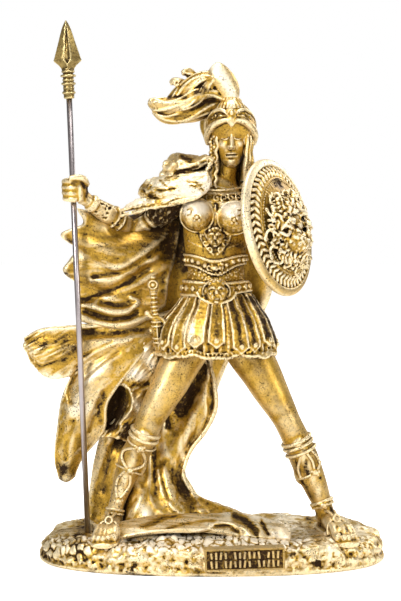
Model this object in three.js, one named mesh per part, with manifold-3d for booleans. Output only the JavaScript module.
// A resin statuette of a striding armoured goddess, finished in antique gold.
// The figure, its cloak and the rocky base are one casting. The round shield, the steel
// spear rod and the spearhead are pieces of their own.
// Millimetres, +Z up, X across the front, the face towards -Y. The origin is the middle of the underside.

import * as THREE from "three";
import { LoftGeometry } from "three/addons/geometries/LoftGeometry.js";
import { mergeVertices } from "three/addons/utils/BufferGeometryUtils.js";
import Module from "manifold-3d";

const wasm = await Module();
wasm.setup();

// Driving dimensions
const figureHeight = 288; // ground to the top of the plume
const baseLength = 216;
const baseDepth = 115;
const baseThickness = 17;
const baseSquareness = 2.4; // 2 is an ellipse, more is squarer
const rockRelief = 1.3; // height of the lumps on the base
const pebbleSize = 4; // the smallest of the stones on the ground
const plaqueLength = 47;
const plaqueHeight = 13.2;
const plaqueProud = 3;
const plaqueFrame = 1.3;
const plaqueRecess = 1.1;
const rodDiameter = 3.5;
const rodClearance = 0.35; // round the rod, in the fist and in the socket
const rodSocketDepth = 8;
const rodSeatDepth = 8; // inside the spearhead
const spearLength = 313.5; // ground to the tip
const spearheadLength = 47;
const bladeLength = 29;
const bladeWidth = 17;
const bladeThickness = 6;
const shieldDiameter = 85;
const shieldRise = 6; // how far the bowl's middle stands in front of its rim
const shieldThickness = 3.4;
const seatGap = 0.35; // between the shield and the arm that it is glued to

// The pose is drawn on a figure 288 high that stands on ground at 17, one unit to the millimetre.
const drawnHeight = 288;
const drawnGround = 17;
const unit = figureHeight / drawnHeight;
const forward = new THREE.Vector3(0, -1, 0);
const upward = new THREE.Vector3(0, 0, 1);

const at = (x, y, z) => new THREE.Vector3(x * unit, y * unit, baseThickness + (z - drawnGround) * unit);
const spline = (points) => new THREE.CatmullRomCurve3(points, false, "catmullrom", 0.5);
const turn = Math.PI * 2;

// Closed geometry to a solid, turned so that its faces point out.
function solid(geometry) {
  const bare = new THREE.BufferGeometry();
  bare.setAttribute("position", geometry.getAttribute("position"));
  bare.setIndex(geometry.index);
  const merged = mergeVertices(bare, 1e-4);
  const p = merged.getAttribute("position");
  const index = merged.index.array;
  const corners = [];
  let volume = 0;
  const [a, b, c] = [new THREE.Vector3(), new THREE.Vector3(), new THREE.Vector3()];
  for (let i = 0; i < index.length; i += 3) {
    const [m, n, o] = [index[i], index[i + 1], index[i + 2]];
    if (m === n || n === o || o === m) continue;
    corners.push(m, n, o);
    volume += a.fromBufferAttribute(p, m).dot(b.fromBufferAttribute(p, n).cross(c.fromBufferAttribute(p, o)));
  }
  if (volume < 0) corners.reverse();
  const mesh = new wasm.Mesh({
    numProp: 3,
    vertProperties: new Float32Array(p.array),
    triVerts: new Uint32Array(corners),
  });
  return new wasm.Manifold(mesh);
}

const join = (solids) => wasm.Manifold.union(solids);

// Sections of equal counts skinned to a solid, with each end closed on its middle.
function skin(sections) {
  const middle = (ring) => {
    const sum = ring.reduce((total, p) => total.add(p), new THREE.Vector3()).divideScalar(ring.length);
    return ring.map(() => sum);
  };
  return solid(new LoftGeometry([middle(sections[0]), ...sections, middle(sections.at(-1))]));
}

const evenly = (steps) => Array.from({ length: steps + 1 }, (_, k) => k / steps);

// A modelled form through stations [x, y, z, half width, half depth], skinned over the given rows of t,
// which runs from 0 at its start to 1 at its end. The depth is measured towards front. mould(angle, t)
// swells or pinches the section, and angle is 0 at the side and a quarter turn at the front.
function form(
  stations,
  { around = 8, steps = 6, rows = evenly(steps), front = forward, mould = () => 1 } = {},
) {
  const line = spline(stations.map(([x, y, z]) => at(x, y, z)));
  const size = spline(stations.map(([, , , wide, deep]) => new THREE.Vector3(wide, deep, 0)));
  const sections = [];
  for (const t of rows) {
    const centre = line.getPoint(t);
    const along = line.getTangent(t);
    const side = new THREE.Vector3().crossVectors(along, front).normalize();
    const deep = new THREE.Vector3().crossVectors(side, along).normalize();
    const half = size.getPoint(t);
    const ring = [];
    for (let k = 0; k < around; k++) {
      const angle = (k / around) * turn;
      const swell = unit * mould(angle, t);
      ring.push(
        centre
          .clone()
          .addScaledVector(side, Math.cos(angle) * half.x * swell)
          .addScaledVector(deep, Math.sin(angle) * half.y * swell),
      );
    }
    sections.push(ring);
  }
  return skin(sections);
}

// A slab of cloth over a net of points, rows from the top down and each row from left to right.
// fold(u, v) lifts it towards the viewer. It thins to nothing at its four edges.
function cloth(net, { thick = 2.6, across = 12, along = 10, fold = () => 0 } = {}) {
  const rows = net.map((row) => spline(row.map(([x, y, z]) => at(x, y, z))));
  const place = (u, v) => spline(rows.map((row) => row.getPoint(u))).getPoint(v);
  const step = 0.01;
  const facing = (u, v) => {
    const down = place(u, Math.min(v + step, 1)).sub(place(u, Math.max(v - step, 0)));
    const over = place(Math.min(u + step, 1), v).sub(place(Math.max(u - step, 0), v));
    return down.cross(over).normalize();
  };
  const sections = [];
  for (let j = 0; j <= along; j++) {
    const v = j / along;
    const half = j === 0 || j === along ? 0 : thick / 2;
    const near = [];
    const far = [];
    for (let i = 0; i <= across; i++) {
      const u = i / across;
      const p = place(u, v);
      const n = facing(u, v);
      const lift = fold(u, v);
      near.push(p.clone().addScaledVector(n, (lift + half) * unit));
      far.push(p.clone().addScaledVector(n, (lift - half) * unit));
    }
    for (const k of [0, across]) near[k].add(far[k]).multiplyScalar(0.5);
    sections.push([...near, ...far.slice(1, across).reverse()]);
  }
  return solid(new LoftGeometry(sections));
}

// A ball or egg with the half sizes given.
function egg(x, y, z, wide, deep, high, around = 10, rows = 6) {
  const g = new THREE.SphereGeometry(1, around, rows);
  g.rotateX(Math.PI / 2);
  g.scale(wide * unit, deep * unit, high * unit);
  const p = at(x, y, z);
  g.translate(p.x, p.y, p.z);
  return solid(g);
}

// A faceted bead.
function bead(p, r) {
  return solid(new THREE.OctahedronGeometry(r * unit, 0).translate(p.x, p.y, p.z));
}

// A point of a form's surface, t along it, lifted off it.
function onForm(stations, t, angle, lift, front = forward) {
  const line = spline(stations.map(([x, y, z]) => at(x, y, z)));
  const half = spline(stations.map(([, , , wide, deep]) => new THREE.Vector3(wide, deep, 0))).getPoint(t);
  const along = line.getTangent(t);
  const side = new THREE.Vector3().crossVectors(along, front).normalize();
  const deep = new THREE.Vector3().crossVectors(side, along).normalize();
  return line
    .getPoint(t)
    .addScaledVector(side, Math.cos(angle) * (half.x + lift) * unit)
    .addScaledVector(deep, Math.sin(angle) * (half.y + lift) * unit);
}

// A cord with a faceted section along points that are already placed.
function cord(points, r, around = 4, steps = 8) {
  const line = spline(points);
  const sections = [];
  for (let i = 0; i <= steps; i++) {
    const t = i / steps;
    const along = line.getTangent(t);
    const across = Math.abs(along.z) > 0.9 ? forward : upward;
    const side = new THREE.Vector3().crossVectors(along, across).normalize();
    const other = new THREE.Vector3().crossVectors(side, along).normalize();
    const ring = [];
    for (let k = 0; k < around; k++) {
      const angle = (k / around) * turn;
      ring.push(
        line
          .getPoint(t)
          .addScaledVector(side, Math.cos(angle) * r * unit)
          .addScaledVector(other, Math.sin(angle) * r * unit),
      );
    }
    sections.push(ring);
  }
  return skin(sections);
}

// A closed hoop of four-cornered section round a form: height(angle) gives [t of its top, t of its bottom].
function hoop(stations, height, { lift = 1.4, around = 16, sunk = 1.5 } = {}) {
  const edge = (which, off) =>
    Array.from({ length: around }, (_, k) => {
      const angle = (k / around) * turn;
      return onForm(stations, height(angle)[which], angle, off);
    });
  const sections = [edge(0, -sunk), edge(0, lift), edge(1, lift), edge(1, -sunk), edge(0, -sunk)];
  return solid(new LoftGeometry(sections));
}

// The body's stations, which the armour and straps follow
const torsoLine = [
  [3, 0, 150, 21, 14.4],
  [3, 0, 158, 20.6, 14.2],
  [2.4, 0, 168, 18.8, 13.2],
  [2.4, 0, 177, 16.8, 12],
  [2.2, 0, 187, 18, 12.6],
  [2.4, 0, 198, 19.5, 13.2],
  [2.8, 0, 208, 20.3, 13],
  [3.4, 0, 217, 20.6, 12.2],
  [4.5, 1, 225, 19, 10.2],
  [6, 1.5, 231, 14, 8.5],
  [8, 2, 236, 7.5, 6.6],
  [9.5, 1, 241, 5.4, 5.6],
  [10.6, -1, 249, 5.2, 5.4],
];
const rightLegLine = [
  [-8, 2, 144, 11, 11],
  [-14, 0, 131, 13, 13],
  [-21, -4, 119, 12.4, 12.4],
  [-29, -8, 104, 10.8, 11],
  [-37, -11, 90, 8.8, 9.2],
  [-40, -12, 82, 8.2, 8.6],
  [-44, -9, 72, 8.4, 9],
  [-49, -6, 62, 8.6, 9.4],
  [-54, -6, 50, 7, 7.6],
  [-58, -8, 38, 5, 5.6],
  [-60, -9, 30, 4.7, 5.2],
  [-60.5, -9, 22, 5, 6],
];
const leftLegLine = [
  [14, 2, 144, 11, 11],
  [20, 1, 132, 13.2, 13],
  [27.4, 0, 120, 12.8, 12.4],
  [35, -2, 106, 11, 11],
  [43, -4, 92, 8.6, 9],
  [46.6, -5, 85, 7.9, 8.4],
  [51.4, -3, 75, 8.2, 9],
  [56.6, -1, 63, 9, 9.4],
  [61.6, 0, 51, 8.2, 8.4],
  [66, 0, 40, 6.8, 6.8],
  [69.4, 0, 31, 5.8, 6],
  [71.4, 0, 23, 5.6, 6.2],
];
const skirtLine = [
  [2.6, 0, 166, 18.6, 13],
  [3, 0, 157, 24.5, 17],
  [3, 0, 148, 31, 20.5],
  [2.6, 0, 137, 35.5, 23],
  [2.6, 0, 125, 36, 24.5],
];
const rightKneeStrap = 78;
const leftKneeStrap = 71;

// Share of a line's length at a height, for lines that run evenly enough in z.
function shareAt(stations, z) {
  for (let i = 1; i < stations.length; i++) {
    const [from, to] = [stations[i - 1][2], stations[i][2]];
    if ((z - from) * (z - to) <= 0) return (i - 1 + (z - from) / (to - from)) / (stations.length - 1);
  }
  return 1;
}

// Rows and mould that raise a cuff between two shares of a form's length
function cuffed(steps, cuffs, rise) {
  const stepUp = 0.004; // share of the length over which a cuff's edge rises
  const spacing = 0.04; // even rows nearer than this to an edge are left out
  const edges = cuffs.flatMap(([from, to]) => [from - stepUp, from, to, to + stepUp]);
  const apart = (t) => edges.every((edge) => Math.abs(edge - t) > spacing);
  const even = evenly(steps).filter((t) => t === 0 || t === 1 || apart(t));
  const rows = [...even, ...edges].sort((a, b) => a - b);
  const mould = (angle, t) => (cuffs.some(([from, to]) => t >= from && t <= to) ? rise : 1);
  return { rows, mould };
}

// Trunk, neck and legs
const kneeCuff = 0.052; // half its share of the leg's length

function leg(line, kneeZ) {
  const t = shareAt(line, kneeZ);
  return form(line, { around: 7, ...cuffed(7, [[t - kneeCuff / 2, t + kneeCuff / 2]], 1.16) });
}

function body() {
  return [
    form(torsoLine, { around: 10, steps: 7 }),
    egg(-15, 2.5, 225.5, 8, 8, 8, 6, 4),
    egg(24.5, 2.5, 225.5, 8, 8, 8, 6, 4),
    leg(rightLegLine, rightKneeStrap),
    leg(leftLegLine, leftKneeStrap),
  ];
}

// A sandalled foot from its heel to the ball of its toes
function foot([x, y, z], [toeX, toeY, toeZ]) {
  const line = (share, lift, wide, high) => [
    x + (toeX - x) * share,
    y + (toeY - y) * share,
    z + (toeZ - z) * share + lift,
    wide,
    high,
  ];
  const parts = [
    form([line(-0.08, 2, 4, 3), line(0.15, 4, 5.4, 6), line(0.5, 3.4, 6, 5), line(0.88, 1.4, 7.4, 2.8)], {
      around: 6,
      steps: 3,
      front: upward,
    }),
    form([line(-0.12, -2.6, 5, 2), line(0.2, -2.6, 6, 2), line(0.85, -2.6, 9, 2), line(1.1, -2.6, 7, 1.8)], {
      around: 6,
      steps: 3,
      front: upward,
    }),
  ];
  const across = new THREE.Vector2(toeY - y, x - toeX).normalize();
  const toes = 5;
  for (let k = 0; k < toes; k++) {
    const off = (k - (toes - 1) / 2) * 3.4;
    const [tx, ty, tz] = line(0.96 - Math.abs(k - 1) * 0.03, 2.2, 0, 0);
    parts.push(egg(tx + across.x * off, ty + across.y * off, tz, 1.9, 4.6, 2.5, 4, 2));
  }
  return parts;
}

// Straps that cross up the shin from the cuff below the knee
function laces(line, top, bottom) {
  const parts = [];
  const rounds = 2;
  for (let k = 0; k < rounds; k++) {
    const high = top + ((bottom - top) * k) / rounds;
    const low = top + ((bottom - top) * (k + 1)) / rounds;
    for (const hand of [-1, 1]) {
      const path = [0, 1].map((share) =>
        onForm(line, shareAt(line, high + (low - high) * share), turn / 4 + hand * (1 - share) * 0.95, 0.7),
      );
      parts.push(cord(path, 1.4, 3, 1));
    }
  }
  return parts;
}

// The spear leans out to her right and forward, from its socket in the base up through the fist.
const leanOut = 0.0346;
const leanForward = 0.0521;
const spearAt = (z) => [-77.3 - leanOut * (z - drawnGround), -4 - leanForward * (z - drawnGround), z];
const gripHeight = 228;
const spearFoot = at(...spearAt(drawnGround));
const spearTurn = new THREE.Quaternion().setFromUnitVectors(
  upward,
  at(...spearAt(gripHeight)).sub(spearFoot).normalize(),
);

// Arms
const elbow = [-55, 11, 206.6];
const grip = spearAt(gripHeight);

// A station of the right forearm, a share of the way from the elbow to the grip and bowed forward
const towardsGrip = (share, bow, wide, deep) => [
  ...elbow.map((from, k) => from + (grip[k] - from) * share - (k === 1 ? bow : 0)),
  wide,
  deep,
];
const rightUpperArm = [
  [-16, 3, 226, 7.4, 7.4],
  [-30, 8, 216, 6, 6.2],
  [-42, 12, 208, 5.3, 5.6],
  [-51.5, 13.5, 203.5, 5.2, 5.6],
];
const rightForearm = [
  [-50, 15, 202.5, 4.6, 4.8],
  towardsGrip(0, 0, 6.8, 6.8),
  towardsGrip(0.3, 2, 6.6, 6.4),
  towardsGrip(0.54, 4, 5, 5),
  towardsGrip(0.68, 3.9, 3.9, 4.4),
  towardsGrip(0.85, 2, 4.4, 5),
];
const leftUpperArm = [
  [25, 3, 226, 7.2, 7.2],
  [29, 5, 215, 6.2, 6.4],
  [34.5, 8.5, 195.5, 5, 5.2],
];
const leftForearm = [
  [34.5, 10, 196, 4.6, 4.8],
  [33.5, 2, 197.5, 5.6, 5.6],
  [31, -11, 200.5, 4.8, 5],
  [28.6, -28, 204, 4.6, 5],
  [28.6, -31, 204.4, 3, 3],
];
const bracer = [
  [0.26, 0.33],
  [0.7, 0.77],
];

// A closed hand, four fingers one above another, with the thumb over the top
function fist() {
  const fingers = 4;
  const pitch = 3.6;
  const rows = Array.from({ length: fingers * 2 + 1 }, (_, k) => {
    const z = gripHeight + (k / 2 - fingers / 2) * pitch;
    const r = k % 2 ? 7.9 : 6.6;
    return [...spearAt(z), k === 0 || k === fingers * 2 ? 5.4 : r, r];
  });
  const [x, y, z] = grip;
  const thumb = [at(x + 7, y + 1, z + 4), at(x + 5.4, y - 5.4, z + 6.6), at(x - 1, y - 6.4, z + 7)];
  return [form(rows, { around: 8, steps: fingers * 2 }), cord(thumb, 2.2, 4, 2)];
}

function arms() {
  const sleeve = [
    [-20, 4, 225, 8.4, 8.6],
    [-28, 7, 218.6, 8.6, 8.8],
    [-35, 10, 213.4, 7.6, 7.8],
  ];
  return [
    form(rightUpperArm, { around: 6, steps: 1 }),
    form(rightForearm, { around: 7, ...cuffed(4, bracer, 1.17) }),
    // Short fluted sleeve of the armour
    form(sleeve, { around: 10, steps: 1, mould: (angle) => 1 + 0.08 * Math.cos(angle * 5) }),
    form(leftUpperArm, { around: 6, steps: 2 }),
    form(leftForearm, { around: 6, steps: 4, front: upward }),
    ...fist(),
  ];
}

// Head, with hair drawn back under a crested helmet
const headMiddle = 11.9;

function head() {
  const skull = [
    [headMiddle + 0.3, -5, 243.4, 2, 2.4],
    [headMiddle + 0.2, -4.6, 246, 5.6, 6.2],
    [headMiddle, -3.4, 250.5, 8, 8.8],
    [headMiddle, -2.6, 256, 9.3, 10.2],
    [headMiddle, -2, 262, 9.7, 10.8],
    [headMiddle, -1, 269, 9.4, 10.6],
    [headMiddle, 0, 275, 6, 7],
  ];
  const nose = [
    [headMiddle, -12.4, 262.5, 1, 1],
    [headMiddle, -14.4, 256, 1.8, 1.8],
    [headMiddle, -13, 253.8, 1.4, 1],
  ];
  const parts = [
    form(skull, { around: 8, steps: 5 }),
    form(nose, { around: 4, steps: 2 }),
    egg(headMiddle, -12, 250.6, 3, 1.7, 1.1, 4, 3),
  ];
  for (const hand of [-1, 1]) {
    parts.push(egg(headMiddle + hand * 4, -11.2, 259.4, 2.3, 1.5, 1.1, 4, 3));
    // Long locks beside the face, down to the collar
    for (const [out, back] of [
      [8.4, -5.6],
      [9.6, -0.6],
    ]) {
      const lock = [
        [headMiddle + hand * (out - 1), back, 262, 1.6, 1.6],
        [headMiddle + hand * out, back - 0.8, 254, 2.1, 2.1],
        [headMiddle + hand * (out - 0.6), back, 246, 1.8, 1.8],
        [headMiddle + hand * out, back - 1.2, 234, 1.4, 1.4],
      ];
      parts.push(form(lock, { around: 4, steps: 3 }));
    }
  }
  return parts;
}

function helmet() {
  const dome = form(
    [
      [headMiddle, 3, 256, 14, 15],
      [headMiddle, 2, 261, 15.2, 17],
      [headMiddle, 1, 268, 15.2, 17.4],
      [headMiddle - 0.2, 0.5, 274, 13.2, 15],
      [headMiddle - 0.4, 0.5, 279, 8.4, 10.4],
      [headMiddle - 0.6, 0.5, 283.4, 4.8, 6],
    ],
    { around: 12, steps: 4 },
  );
  const opening = form(
    [
      [headMiddle, -24, 254, 11.4, 14.6],
      [headMiddle, -4, 254, 11, 13.6],
    ],
    { around: 8, steps: 1, front: upward },
  );
  const brim = [
    [-3, -3, 257, 1.6, 1.8],
    [-1.4, -9.4, 262, 1.8, 2],
    [4.2, -15, 267.4, 1.8, 2],
    [headMiddle, -17.6, 269, 1.9, 2.2],
    [19.6, -15, 267.4, 1.8, 2],
    [25.2, -9.4, 262, 1.8, 2],
    [26.8, -3, 257, 1.6, 1.8],
  ];
  const peak = [
    [headMiddle, -15.6, 271, 2.6, 2.2],
    [headMiddle, -16.8, 267.4, 2.2, 2],
    [headMiddle, -15.8, 264, 0.6, 1],
  ];
  const neckGuard = [
    [headMiddle, 10, 260, 12, 5],
    [headMiddle, 13, 252, 12.4, 3],
    [headMiddle, 16, 245, 12, 1.6],
  ];
  const parts = [
    dome.subtract(opening),
    form(brim, { around: 4, steps: 6 }),
    form(peak, { around: 4, steps: 1 }),
    form(neckGuard, { around: 6, steps: 1 }),
    bead(at(headMiddle, -15.4, 274), 2.2),
  ];
  // Scrolls over the temples
  for (const hand of [-1, 1]) {
    const scroll = [
      [2.6, -14.6, 272],
      [8.2, -11.4, 274.6],
      [13.6, -5.4, 270.6],
    ].map(([x, y, z]) => at(headMiddle + hand * x, y, z));
    parts.push(cord(scroll, 1.5, 3, 3));
  }
  // Beaded collar that holds the plume
  const collar = [
    [headMiddle - 0.6, 0.5, 280.2, 5.4, 6.6],
    [headMiddle - 0.6, 0.5, 282.6, 7, 8],
    [headMiddle - 0.6, 0.5, 284.8, 5, 6],
  ];
  parts.push(form(collar, { around: 12, steps: 2, mould: (angle) => 1 + 0.09 * Math.cos(angle * 6) }));
  return parts;
}

// Horsehair plume, blown out to her right in thick locks
function plume() {
  const lock = (stations, steps = 5) =>
    form(stations, { around: 5, steps, mould: (angle, t) => 1 + 0.12 * Math.cos(angle * 2 + t * 5) });
  return [
    lock([
      [11.6, 0.5, 284, 4.6, 6],
      [10, 0, 290, 5.6, 6.4],
      [6.6, 0, 297, 5.6, 6],
      [3, 0, 302.4, 4.2, 4.4],
      [-1, 1, 303.6, 1.8, 2.4],
    ]),
    lock([
      [9, 2, 286, 4, 5],
      [3, 2, 294, 6.2, 6],
      [-6, 2, 296.4, 6, 5.8],
      [-15, 2, 292, 5.4, 5.4],
      [-22, 1, 285.6, 4.6, 5],
      [-28, 0, 280, 2.4, 3],
    ]),
    lock([
      [8, 0, 284, 3, 4],
      [0, -2, 287, 4.4, 4.6],
      [-9, -3, 286, 4.8, 4.8],
      [-18, -3, 281.6, 5, 4.6],
      [-28, -2, 280, 4.8, 4.2],
      [-38.4, 0, 281.6, 2.6, 2.8],
    ]),
    lock([
      [6, 2, 281, 2.4, 4],
      [-3, 0, 278.6, 5, 5],
      [-13, -1, 275.4, 5.6, 4.8],
      [-22, -1, 273.6, 4.8, 4.2],
      [-30, 0, 274.2, 4.4, 3.8],
      [-36.6, 1, 277, 2.4, 2.2],
    ]),
    lock(
      [
        [-8, 4, 296, 3, 3],
        [-12, 5, 299.6, 3, 3.2],
        [-15.6, 5, 301.6, 2.8, 3],
        [-18.2, 4, 300.6, 1.6, 2],
      ],
      3,
    ),
    lock(
      [
        [-13, 4, 292, 3, 3],
        [-18, 5, 294.6, 2.8, 3],
        [-22.6, 5, 295.6, 2.6, 2.8],
        [-25.6, 5, 294.2, 1.4, 1.6],
      ],
      3,
    ),
    // Down the back of the neck
    lock([
      [10, 6, 285, 4, 5],
      [6, 13, 288, 4.4, 5],
      [1, 18, 281, 4.4, 4.6],
      [-3, 20, 270, 4, 4.2],
      [-2, 20, 258, 1.8, 2.2],
    ]),
  ];
}

// Breastplate and belts
function armour() {
  const parts = [];
  const bustZ = 212.6;
  for (const x of [-9, 13.2]) {
    parts.push(egg(x, -10, bustZ, 9.8, 8.4, 9.8, 7, 5));
    parts.push(bead(at(x, -17.6, bustZ), 2.4));
  }
  const collar = [
    [-13, -6.4, 228.4, 1.6, 1.6],
    [-6, -10.4, 224.4, 2, 1.8],
    [3.4, -12.4, 220.6, 2.6, 2],
    [12.6, -10.4, 224.4, 2, 1.8],
    [20, -6.4, 228.4, 1.6, 1.6],
  ];
  parts.push(form(collar, { around: 4, steps: 4 }));
  // Mask below the breasts
  parts.push(egg(0.8, -12.8, 198.6, 5.2, 2.8, 6, 6, 4));
  parts.push(bead(at(0.8, -15.6, 199), 1.5));
  // The upper belt dips and widens at the front, the lower one carries a round mask
  const dip = (angle) => Math.exp(-(((angle - turn / 4) / 0.55) ** 2));
  const band = (middle, half, drop, swell) => (angle) => {
    const z = middle - drop * dip(angle);
    const reach = half + swell * dip(angle);
    return [shareAt(torsoLine, z + reach), shareAt(torsoLine, z - reach)];
  };
  const upperBelt = 185.6;
  const lowerBelt = 168;
  parts.push(hoop(torsoLine, band(upperBelt, 3, 4.6, 1.8), { lift: 1.7, around: 10 }));
  parts.push(hoop(torsoLine, band(lowerBelt, 4, 1.5, 0), { lift: 3.4, around: 10 }));
  for (const [z, lift] of [
    [upperBelt, 2],
    [lowerBelt, 3.8],
  ]) {
    for (const off of [-1.2, 1.2]) {
      parts.push(bead(onForm(torsoLine, shareAt(torsoLine, z), turn / 4 + off, lift), 1.8));
    }
  }
  const maskAt = at(2.8, -15.4, 166);
  const disc = new THREE.CylinderGeometry(8.6 * unit, 9 * unit, 5 * unit, 10);
  parts.push(solid(disc.translate(maskAt.x, maskAt.y, maskAt.z)));
  parts.push(egg(2.8, -17.4, 166, 6, 3, 6.4, 6, 4));
  parts.push(bead(at(2.8, -20.6, 165.6), 1.6));
  return parts;
}

// Kilt with a row of pointed strips over it, long and short in turn, and a stud on each in front
function skirt() {
  const strips = 12;
  const perStrip = 3;
  const around = strips * perStrip;
  const proud = 2;
  const wall = 2.8;
  const ends = [133, 137];
  const point = 4;
  const row = (height, lift) =>
    Array.from({ length: around }, (_, k) => {
      const groove = k % perStrip === 0;
      const angle = turn / 4 + ((k / perStrip - 0.5) / strips) * turn;
      const z = height(Math.floor(k / perStrip), groove);
      return onForm(skirtLine, shareAt(skirtLine, z), angle, groove ? Math.min(lift, 0) : lift);
    });
  const tip = (strip, groove) => ends[strip % 2] - (groove ? 0 : point);
  const sections = [
    row(() => 166, 0),
    row(() => 152, proud),
    row((strip) => ends[strip % 2] + 1, proud),
    row(tip, proud),
    row(tip, -0.6),
    row(() => 125, 0),
    row(() => 125, -wall),
    row(() => 133, -wall),
  ];
  const parts = [skin(sections)];
  for (let k = 0; k < strips; k++) {
    const angle = turn / 4 + (k / strips) * turn;
    if (Math.sin(angle) < -0.1) continue;
    parts.push(bead(onForm(skirtLine, shareAt(skirtLine, ends[k % 2] + 1), angle, proud), 1.8));
  }
  return parts;
}

// Sword in its scabbard at her right hip
function sword() {
  const hilt = [at(-36.4, -7, 171), at(-35.8, -7, 160), at(-34, -6.4, 150)];
  const guard = [at(-38.5, -7.4, 151), at(-34, -6.6, 149.6), at(-29.6, -6.6, 148.6)];
  const scabbard = [
    [-34, -6.4, 150, 2.6, 2],
    [-33.4, -5, 140, 3, 2.2],
    [-33, -3, 127, 2.2, 1.8],
  ];
  return [
    egg(-36.4, -7, 170, 4, 4, 4, 6, 4),
    bead(at(-38.8, -6.4, 174.4), 2.2),
    cord(hilt, 2, 4, 2),
    cord(guard, 1.6, 4, 1),
    form(scabbard, { around: 4, steps: 2 }),
  ];
}

// Mantle over her right shoulder, gathered in a thick roll at the neck
function mantle() {
  const sheet = [
    [[-12, -16, 221], [-25, -14.5, 219.5], [-40, -10, 217], [-57, -2, 212.6]],
    [[-5, -14, 229], [-22, -13.5, 228], [-39, -9, 224], [-54, -1, 214.6]],
    [[-2, -8, 238], [-20, -8, 237], [-37, -4, 231], [-50, 3, 217]],
    [[-2, 2, 243], [-20, 1, 243], [-39, 6, 235], [-49, 10, 218]],
    [[-4, 12, 238], [-20, 14, 236], [-40, 17, 228], [-52, 18, 209]],
  ];
  const fold = (u, v) => 1.4 * Math.sin(u * 15 + v * 4) * Math.sin(v * 3);
  const roll = [
    [4, 9, 240, 3, 3],
    [-8, 3, 245.4, 4.2, 4.4],
    [-18, 0, 247.6, 4.2, 4.4],
    [-25.6, 1, 243, 4.4, 4.6],
    [-27, 3, 236, 3, 3],
  ];
  return [
    cloth(sheet, { thick: 3, across: 6, along: 5, fold }),
    form(roll, { around: 6, steps: 5, mould: (angle, t) => 1 + 0.14 * Math.cos(angle * 3 + t * 26) }),
  ];
}

// The long panel down her back, spreading over the ground
function backPanel() {
  const sheet = [
    [[-30, 9, 231], [-16, 13, 240], [0, 12, 241], [16, 10, 239], [31, 10, 231]],
    [[-58, 20, 200], [-34, 20, 204], [-8, 17, 206], [14, 16, 206], [33, 14, 206]],
    [[-66, 22, 164], [-38, 23, 168], [-10, 21, 170], [14, 17, 168], [37, 8, 163]],
    [[-68, 20, 122], [-44, 23, 124], [-20, 22, 126], [-2, 20, 122], [10, 16, 120]],
    [[-64, 16, 80], [-48, 20, 80], [-30, 21, 80], [-16, 19, 82], [-4, 14, 86]],
    [[-72, 14, 44], [-56, 22, 44], [-40, 24, 46], [-27, 20, 48], [-19, 11, 52]],
    [[-79, 9, 17], [-58, 26, 16], [-34, 33, 16], [-8, 28, 16], [8, 8, 18]],
  ];
  const fold = (u, v) => -4 * v * Math.sin(u * 20 + Math.sin(v * 4) * 1.4);
  return cloth(sheet, { thick: 4.4, across: 12, along: 7, fold });
}

// One sheet sags in swags from the arm to the hip, its hem turned out in points at the left
function swags() {
  const sheet = [
    [[-84, -5, 218], [-68, -2, 213], [-54, 6, 206], [-38, 12, 207], [-20, 15, 212]],
    [[-80, -3, 208], [-68, -5, 205], [-56, -2, 200], [-38, 5, 200], [-19, 13, 208]],
    [[-94, 0, 201.5], [-74, -6, 197], [-58, -6, 191], [-40, 3, 193], [-20, 13, 203]],
    [[-84, 1, 194], [-72, -3, 189], [-57, -4, 183], [-40, 4, 187], [-21, 13, 198]],
    [[-88, 1, 186], [-70, 4, 182], [-56, 4, 177], [-40, 9, 181], [-22, 14, 193]],
    [[-93, 1, 178.6], [-74, -2, 174], [-58, -3, 170], [-42, 3, 174], [-23, 12, 186]],
    [[-84, 4, 170], [-72, 5, 167], [-58, 5, 163.6], [-43, 9, 167], [-25, 13, 179]],
    [[-85, 2, 161], [-72, -2, 157], [-58, -4, 153], [-44, 1, 157], [-27, 9, 169]],
    [[-83, 4, 147], [-68, 4, 143], [-54, 5, 142], [-43, 6, 146], [-29, 11, 156]],
  ];
  return cloth(sheet, { thick: 5, across: 5, along: 13 });
}

// Two long ends blown out behind the spear
function flyingEnds() {
  const upper = [
    [[-24, 14, 154], [-26, 10, 144], [-28, 14, 132]],
    [[-56, 5, 145.6], [-60, -3, 136], [-60, 5, 125]],
    [[-84, 4, 143.5], [-88, -3, 130], [-85, 4, 114]],
    [[-105, 4, 142.5], [-107, -1, 128], [-101, 5, 111.5]],
    [[-117.5, 6, 135.5], [-117, 4, 131], [-113, 6, 123]],
  ];
  const lower = [
    [[-62, 8, 142], [-46, 5, 144], [-28, 12, 138]],
    [[-82, 5, 121], [-66, -3, 113], [-48, 4, 108]],
    [[-93, 4, 101], [-79, -3, 97], [-62, 3, 92]],
    [[-97.5, 3, 80], [-84, -2, 79], [-67, 5, 80]],
    [[-100, 4, 62], [-91, -1, 62], [-81, 4, 62]],
    [[-96, 5, 47.5], [-91.4, 3, 46], [-87, 5, 48.5]],
  ];
  return [
    cloth(upper, { thick: 4.4, across: 6, along: 5, fold: (u, v) => 1.4 * Math.sin(u * 13 + v * 2) * v }),
    cloth(lower, { thick: 5, across: 6, along: 6, fold: (u, v) => 1.3 * Math.sin(u * 13 - v * 2) * (1 - v) }),
  ];
}

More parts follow.
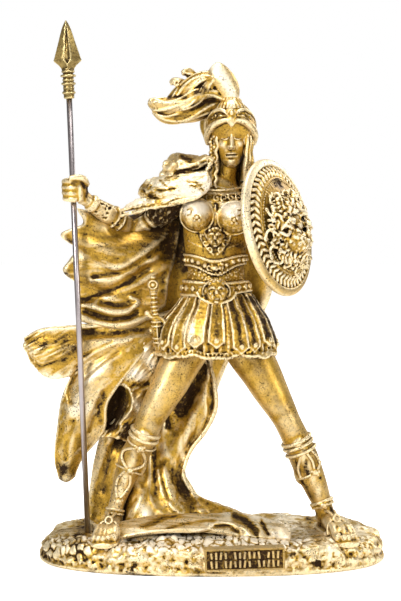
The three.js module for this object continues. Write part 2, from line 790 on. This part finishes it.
// Cloth that falls behind the leg and runs out over the ground
function fall() {
  const sheet = [
    [[-44, 13, 122], [-30, 13, 124], [-16, 13, 126], [-6, 13, 128]],
    [[-50, 13, 98], [-32, 12, 100], [-14, 11, 104], [-1, 12, 106]],
    [[-68, 12, 78], [-44, 10, 80], [-18, 8, 84], [2, 11, 88]],
    [[-74, 11, 60], [-50, 5, 62], [-30, 4, 64], [-14, 9, 69]],
    [[-76, 10, 44], [-52, -1, 46], [-32, -2, 49], [-21, 5, 54]],
    [[-78, 9, 28], [-50, -8, 32], [-27, -9, 35], [-11, 0, 39]],
    [[-76, 2, 19], [-46, -17, 23.6], [-12, -17, 26.6], [20, -6, 30]],
    [[-58, -24, 15.4], [-38, -30, 16.4], [-6, -30, 17], [51, -27, 15]],
  ];
  const fold = (u, v) => 2.2 * Math.sin(u * 21 + v * 2);
  return cloth(sheet, { thick: 5, across: 11, along: 8, fold });
}

// Rocky base
const lump = (x, y) =>
  Math.sin(x * 0.11 + 1.3) * Math.cos(y * 0.13) +
  0.6 * Math.sin(x * 0.23 + y * 0.19) +
  0.4 * Math.cos(x * 0.31 - y * 0.37);

function base() {
  const around = 24;
  const ring = (share, z, rough) =>
    Array.from({ length: around }, (_, k) => {
      const angle = (k / around) * turn;
      const [c, s] = [Math.cos(angle), Math.sin(angle)];
      const x = Math.sign(c) * Math.abs(c) ** (2 / baseSquareness) * (baseLength / 2) * share;
      const y = Math.sign(s) * Math.abs(s) ** (2 / baseSquareness) * (baseDepth / 2) * share;
      const wobble = 1 + (rough * rockRelief * (Math.sin(angle * 7 + z) + Math.sin(angle * 12))) / baseLength;
      return new THREE.Vector3(x * wobble, y * wobble, z + rough * rockRelief * lump(x, y) * 0.5);
    });
  const sections = [
    ring(0.985, 0, 0),
    ring(1, baseThickness * 0.35, 1.6),
    ring(0.975, baseThickness * 0.75, 1.6),
    ring(0.9, baseThickness * 0.97, 1.4),
    ring(0.6, baseThickness * 1.03, 1),
  ];
  const parts = [skin(sections)];
  // Pebbles over the front of the ground
  const stones = 8;
  for (let k = 0; k < stones; k++) {
    const along = (k + 0.5) / stones - 0.5;
    const x = along * baseLength * 0.86;
    const row = [0.84, 0.7, 0.55][k % 3];
    const y = (-baseDepth / 2) * row * (1 - Math.abs(2 * along) ** baseSquareness) ** (1 / baseSquareness);
    const g = new THREE.OctahedronGeometry(pebbleSize * (1 + (k % 4) * 0.15), 0);
    g.scale(1.1, 0.9, 0.6);
    g.rotateZ(k * 1.7);
    g.translate(x, y, baseThickness * 1.02);
    parts.push(solid(g));
  }
  return parts;
}

// Framed plaque on the front of the base, with shallow strokes in place of an inscription
const plaqueCentre = new THREE.Vector3(18.7, -baseDepth / 2, baseThickness * 0.66);
function plaque() {
  const slab = (length, height, depth, out, x = 0, z = 0) => {
    const g = new THREE.BoxGeometry(length, depth, height);
    return solid(g.translate(plaqueCentre.x + x, plaqueCentre.y - out, plaqueCentre.z + z));
  };
  const back = 6;
  const block = slab(plaqueLength, plaqueHeight, plaqueProud + back, (plaqueProud - back) / 2);
  const fieldLength = plaqueLength - 2 * plaqueFrame;
  const fieldHeight = plaqueHeight - 2 * plaqueFrame;
  const field = slab(fieldLength, fieldHeight, 2 * plaqueRecess, plaqueProud);
  const strokes = [];
  const rows = 2;
  const perRow = 4;
  for (let row = 0; row < rows; row++) {
    for (let k = 0; k < perRow; k++) {
      const length = (fieldLength / perRow) * (k % 3 === row ? 0.45 : 0.72);
      const x = ((k + 0.5) / perRow - 0.5) * fieldLength * 0.94;
      const z = (0.5 - (row + 0.5) / rows) * fieldHeight * 0.84;
      strokes.push(slab(length, fieldHeight * 0.14, plaqueRecess, plaqueProud - plaqueRecess * 0.8, x, z));
    }
  }
  return [block.subtract(field), ...strokes];
}

// Spear, modelled upright from the ground at its own foot and then leant
const headStart = spearLength - spearheadLength;
const bladeStart = spearheadLength - bladeLength;

const turned = (profile, segments) =>
  new THREE.LatheGeometry(
    profile.map(([r, z]) => new THREE.Vector2(r, z)),
    segments,
  ).rotateX(Math.PI / 2);

// The rod, or with a clearance the hole that it fits in
function rod(clearance = 0) {
  const r = rodDiameter / 2 + clearance;
  const [foot, top] = [-rodSocketDepth - clearance, headStart + rodSeatDepth + clearance];
  return turned([[0, foot], [r, foot], [r, top], [0, top]], 12);
}

function spearhead() {
  const neck = rodDiameter / 2;
  // Ringed socket: how far it stands out of the rod, and the share of its length
  const rings = [
    [0.9, 0],
    [1.9, 0.2],
    [1, 0.34],
    [2.3, 0.52],
    [1.1, 0.69],
    [2.8, 0.86],
    [1, 1],
  ].map(([proud, share]) => [neck + proud, headStart + share * bladeStart]);
  const socket = solid(turned([[0, headStart], ...rings, [0, headStart + bladeStart]], 8));
  // Half width and half thickness of the blade along its share from the socket to the tip
  const [half, deep] = [bladeWidth / 2, bladeThickness / 2];
  const blade = [
    [-0.08, 0.4, 0.8],
    [0.06, 0.56, 0.86],
    [0.14, 1, 1],
    [0.22, 0.94, 1],
    [0.84, 0.34, 0.54],
    [1, 0.03, 0.08],
  ].map(([share, wide, thick]) =>
    [0, 1, 2, 3].map((corner) => {
      const angle = (corner / 4) * turn;
      const z = headStart + bladeStart + share * bladeLength;
      return new THREE.Vector3(Math.cos(angle) * wide * half, -Math.sin(angle) * thick * deep, z);
    }),
  );
  // A wedge cut from each face leaves the groove down its middle.
  const groove = (hand) =>
    skin(
      [
        [0.16, 0.22, 0.56],
        [0.78, 0.05, 0.32],
      ].map(([share, wide, floor]) => {
        const z = headStart + bladeStart + share * bladeLength;
        return [
          new THREE.Vector3(-wide * half, -hand * bladeThickness, z),
          new THREE.Vector3(wide * half, -hand * bladeThickness, z),
          new THREE.Vector3(0, -hand * floor * deep, z),
        ];
      }),
    );
  return socket
    .add(skin(blade))
    .subtract(groove(1))
    .subtract(groove(-1))
    .subtract(solid(rod(rodClearance)));
}

// Shield, modelled facing +Z round its own middle and then turned out to her left
const shieldCentre = at(38, -12.6, 204.8);
const shieldFacing = new THREE.Vector3(0.851, -0.49, 0.185).normalize();
const shieldTurn = new THREE.Quaternion().setFromUnitVectors(upward, shieldFacing);
const shieldRadius = shieldDiameter / 2;
const rimWidth = shieldRadius * 0.2;
const fieldRadius = shieldRadius - rimWidth;

// The relief is drawn on a shield 85 across.
const drawnDiameter = 85;
const carved = shieldDiameter / drawnDiameter;

// Height of the bowl's front over the plane of its rim
const bowl = (r) => shieldRise * Math.max(0, 1 - (r / fieldRadius) ** 2) + shieldThickness * 0.8;

// The bare disc, or with a gap round it the space that it needs
function shieldDisc(gap = 0, segments = 20) {
  const rim = shieldRadius + gap;
  const back = (r) => [r, bowl(r) - shieldThickness - gap];
  const front = (r) => [r, bowl(r) + gap];
  const moulding = (inset, share) => [rim - inset * carved, shieldThickness * share + gap];
  return turned(
    [
      back(0),
      back(fieldRadius * 0.55),
      back(fieldRadius),
      [rim, shieldThickness * 0.18],
      moulding(0, 0.7),
      moulding(1.4, 1),
      moulding(2.8, 0.6),
      moulding(7, 0.8),
      moulding(8.5, 1.3),
      front(fieldRadius - 1.4 * carved),
      front(fieldRadius * 0.5),
      front(0),
    ],
    segments,
  );
}

function shield() {
  const parts = [solid(shieldDisc())];
  const add = (geometry, x, y, z) => {
    geometry.scale(carved, carved, carved);
    parts.push(solid(geometry.translate(x * carved, y * carved, z)));
  };
  const pip = (wide, high, deep) => new THREE.OctahedronGeometry(1, 0).scale(wide, high, deep);
  // Slanted leaves round the rim
  const leaves = 12;
  for (let k = 0; k < leaves; k++) {
    const leaf = pip(3.6, 1.5, 1.6).rotateZ(0.7).scale(carved, carved, carved);
    leaf.translate(shieldRadius - rimWidth * 0.55, 0, shieldThickness * 0.76);
    parts.push(solid(leaf.rotateZ((k / leaves) * turn)));
  }
  // Snake-haired mask in high relief
  const middle = bowl(0);
  add(new THREE.SphereGeometry(1, 8, 5).scale(8, 10, 7), 0, -2, middle + 1.6 * carved);
  add(pip(1.7, 3.6, 2.4), 0, -2, middle + 7.4 * carved);
  add(pip(3.4, 1.2, 1.6), 0, -7.6, middle + 5.4 * carved);
  for (const hand of [-1, 1]) add(pip(2, 1.2, 1.4), hand * 3.6, 1.4, middle + 6.4 * carved);
  const snakes = 7;
  for (let k = 0; k < snakes; k++) {
    const angle = turn / 4 + ((k - (snakes - 1) / 2) / snakes) * turn * 0.94;
    const curl = k % 2 ? 1 : -1;
    // Share of the way to the rim, swing to the side and height over the bowl
    const points = [
      [0, 0.15, 3],
      [0.3, 0.17, 5],
      [0.6, -0.09, 5],
      [0.85, 0.2, 5.6],
      [1, 0.385, 6],
    ].map(([share, swing, lift]) => {
      const r = 6 * carved + share * (fieldRadius - 8 * carved);
      const way = angle + curl * swing;
      return new THREE.Vector3(Math.cos(way) * r, Math.sin(way) * r - carved, bowl(r) + lift * carved);
    });
    const line = spline(points);
    const sections = evenly(3).map((t) => {
      const way = line.getTangent(t);
      const side = new THREE.Vector3().crossVectors(way, upward).normalize();
      const rise = new THREE.Vector3().crossVectors(side, way).normalize();
      const r = (2.7 - 1.1 * t) * carved;
      return [0, 1, 2].map((corner) => {
        const a = (corner / 3) * turn;
        return line.getPoint(t).addScaledVector(side, Math.cos(a) * r).addScaledVector(rise, Math.sin(a) * r);
      });
    });
    parts.push(skin(sections));
  }
  return join(parts);
}

// Everything together
const moved = (geometry, turning, to) => solid(geometry.applyQuaternion(turning).translate(to.x, to.y, to.z));

const cast = [
  ...base(),
  ...plaque(),
  ...body(),
  ...foot([-60, -3, 19.4], [-65, -42, 18.6]),
  ...foot([70.5, 6, 19.4], [81, -36, 18]),
  ...laces(rightLegLine, rightKneeStrap - 3, 34),
  ...laces(leftLegLine, leftKneeStrap - 3, 32),
  ...arms(),
  ...head(),
  ...helmet(),
  ...plume(),
  ...armour(),
  ...skirt(),
  ...sword(),
  ...mantle(),
  backPanel(),
  swags(),
  ...flyingEnds(),
  fall(),
];
const statue = join(cast)
  .subtract(moved(rod(rodClearance), spearTurn, spearFoot))
  .subtract(moved(shieldDisc(seatGap, 24), shieldTurn, shieldCentre));

function mesh(name, piece, finish) {
  const made = piece.getMesh();
  const g = new THREE.BufferGeometry();
  g.setAttribute("position", new THREE.BufferAttribute(new Float32Array(made.vertProperties), 3));
  g.setIndex(new THREE.BufferAttribute(new Uint32Array(made.triVerts), 1));
  g.computeVertexNormals();
  const m = new THREE.Mesh(g, new THREE.MeshStandardMaterial(finish));
  m.name = name;
  return m;
}

const antiqueGold = { color: 0xc8963c, roughness: 0.38, metalness: 0.85 };
const steel = { color: 0xb9b2ac, roughness: 0.28, metalness: 1 };
const antiqueBrass = { color: 0xa88a52, roughness: 0.35, metalness: 0.9 };

const shieldMesh = mesh("shield", shield(), antiqueGold);
shieldMesh.position.copy(shieldCentre);
shieldMesh.quaternion.copy(shieldTurn);

const spear = new THREE.Group();
spear.position.copy(spearFoot);
spear.quaternion.copy(spearTurn);
spear.add(mesh("spear_rod", solid(rod()), steel));
spear.add(mesh("spearhead", spearhead(), antiqueBrass));

const statuette = new THREE.Group();
statuette.add(mesh("statue", statue, antiqueGold));
statuette.add(shieldMesh);
statuette.add(spear);

export default statuette;
